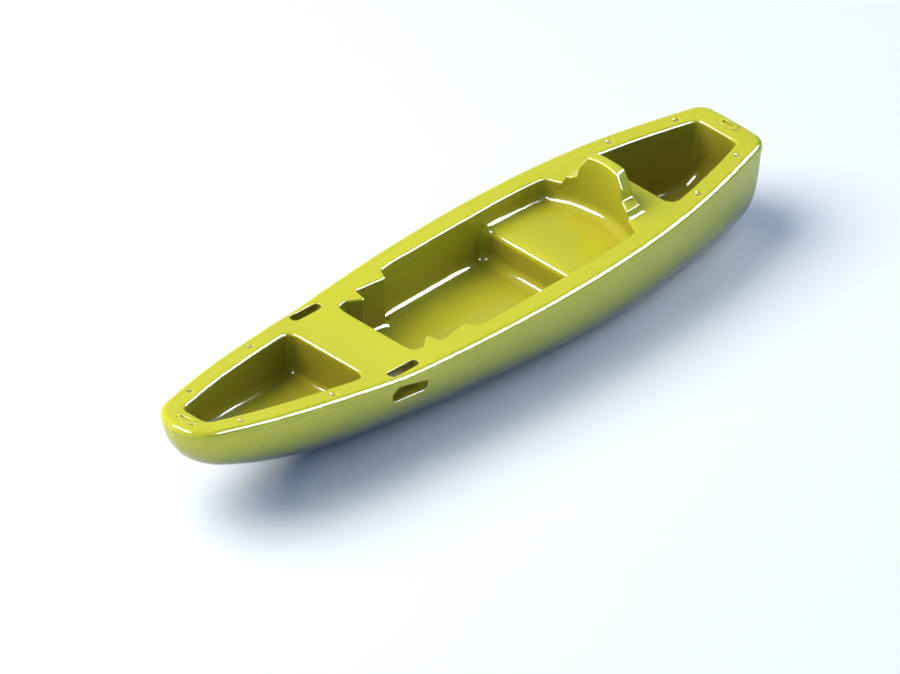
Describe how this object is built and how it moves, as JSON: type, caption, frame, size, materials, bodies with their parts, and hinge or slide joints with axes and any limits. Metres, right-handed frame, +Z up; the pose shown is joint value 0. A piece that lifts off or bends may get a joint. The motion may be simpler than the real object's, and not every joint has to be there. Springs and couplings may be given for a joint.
{
  "type": "kayak",
  "caption": "Short sit-in style moulded kayak with blunt ends, open bow and stern wells, a deep footwell with stepped foot rests, a raised seat with a moulded back, and grip slots.",
  "frame": {"origin": "under the middle of the overall box, on the ground the hull rests on", "axes": "+X towards the bow, +Y to port, +Z up"},
  "size_m": [2.75, 0.656, 0.487],
  "materials": {
    "hull_plastic": "glossy moulded polyethylene, yellow-green",
    "deck_plastic": "glossy moulded polyethylene, yellow-green",
    "seam_plastic": "bonded lap strip",
    "insert_brass": "turned, slightly dull",
    "buoyancy_foam": "closed-cell polyethylene foam",
    "fitting_black": "satin moulded nylon",
    "seal_rubber": "matt rubber"
  },
  "bodies": {
    "hull": {"hull_shell": "hull_plastic", "deck_shell": "deck_plastic", "seam_strip": "seam_plastic", "port_grip_cup": "deck_plastic", "starboard_grip_cup": "deck_plastic", "bow_inserts": "insert_brass", "stern_inserts": "insert_brass", "bow_foam": "buoyancy_foam", "footwell_foam": "buoyancy_foam", "seat_foam": "buoyancy_foam", "stern_foam": "buoyancy_foam", "port_side_foam": "buoyancy_foam", "starboard_side_foam": "buoyancy_foam", "drain_bush": "fitting_black", "drain_gasket": "seal_rubber", "drain_nut": "fitting_black"},
    "drain_seal": {"drain_seal": "seal_rubber"},
    "drain_plug": {"drain_plug": "fitting_black"}
  },
  "joints": [
    {"name": "drain_seal_slide", "type": "slide", "parent": "hull", "child": "drain_seal", "axis": [-1, 0, 0], "range_m": [0, 0.01125]},
    {"name": "drain_plug_turn", "type": "hinge", "parent": "drain_seal", "child": "drain_plug", "pos_m": [-1.36, 0, 0.262], "axis": [-1, 0, 0], "range_deg": [0, 1350]}
  ],
  "couplings": [
    {"joint": "drain_seal_slide", "follows": "drain_plug_turn", "m_per_rad": 0.00047746}
  ]
}
